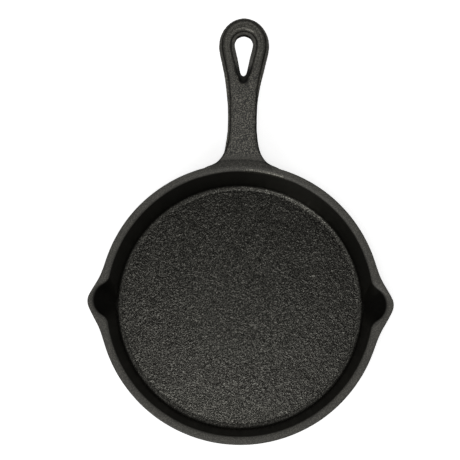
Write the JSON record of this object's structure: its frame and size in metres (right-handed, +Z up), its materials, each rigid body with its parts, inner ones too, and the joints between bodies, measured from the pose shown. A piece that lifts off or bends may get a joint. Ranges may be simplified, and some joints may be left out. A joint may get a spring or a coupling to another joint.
{
  "type": "cast iron serving pan",
  "caption": "Round cast iron skillet with a flat cooking floor, steep drafted wall, opposed pouring lips and a short flat handle that ends in an eye for hanging.",
  "frame": {"origin": "centre of the flat underside, on the surface that the pan stands on", "axes": "+Z up out of the bowl, +Y from the bowl's centre along the handle, +X and -X through the pouring lips"},
  "size_m": [0.1738, 0.2453, 0.0303],
  "materials": {
    "grained_iron": "sand-cast pebbly grain, seasoned black, satin",
    "smooth_iron": "smooth seasoned black, satin"
  },
  "bodies": {
    "root": {"cooking_floor": "grained_iron", "front_wall": "smooth_iron", "rear_wall": "smooth_iron", "left_pouring_lip": "smooth_iron", "right_pouring_lip": "smooth_iron", "handle_root": "grained_iron", "handle_grip": "grained_iron", "hanging_eye": "grained_iron"}
  },
  "joints": []
}
